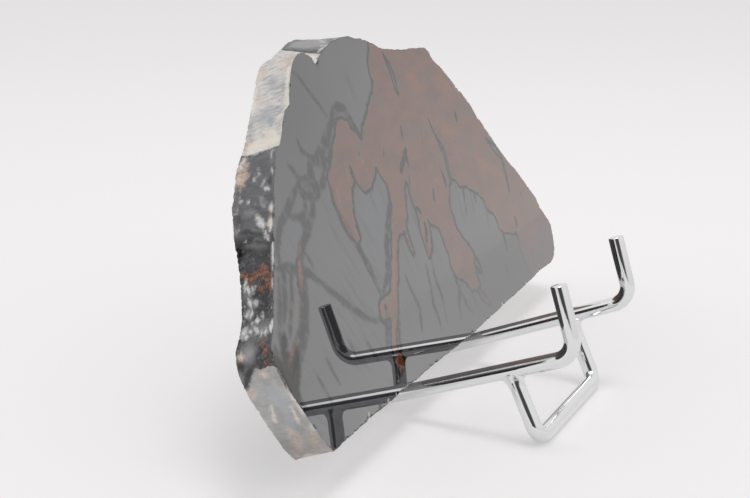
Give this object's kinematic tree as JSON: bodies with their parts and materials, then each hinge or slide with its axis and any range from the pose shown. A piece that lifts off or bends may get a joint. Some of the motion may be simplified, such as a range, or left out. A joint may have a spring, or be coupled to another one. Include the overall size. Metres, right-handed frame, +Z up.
{
  "type": "mahogany obsidian slab on a wire stand",
  "caption": "Flat slab of black and red-brown volcanic glass, polished on one face, standing on a bent chrome wire easel with upturned prongs and a U-shaped front foot.",
  "frame": {"origin": "on the table under the middle of the whole object's box", "axes": "+X to the right of someone facing the polished face, +Y to the back, +Z up"},
  "size_m": [0.1832, 0.0786, 0.0906],
  "materials": {
    "obsidian": "volcanic glass, black with red-brown mahogany flow; polished face, sawn back and ends, glassy broken edge",
    "plated_wire": "bright chrome plate on round steel wire"
  },
  "bodies": {
    "root": {"obsidian_slab": "obsidian", "cradle_wire": "plated_wire", "front_foot": "plated_wire"}
  },
  "joints": []
}
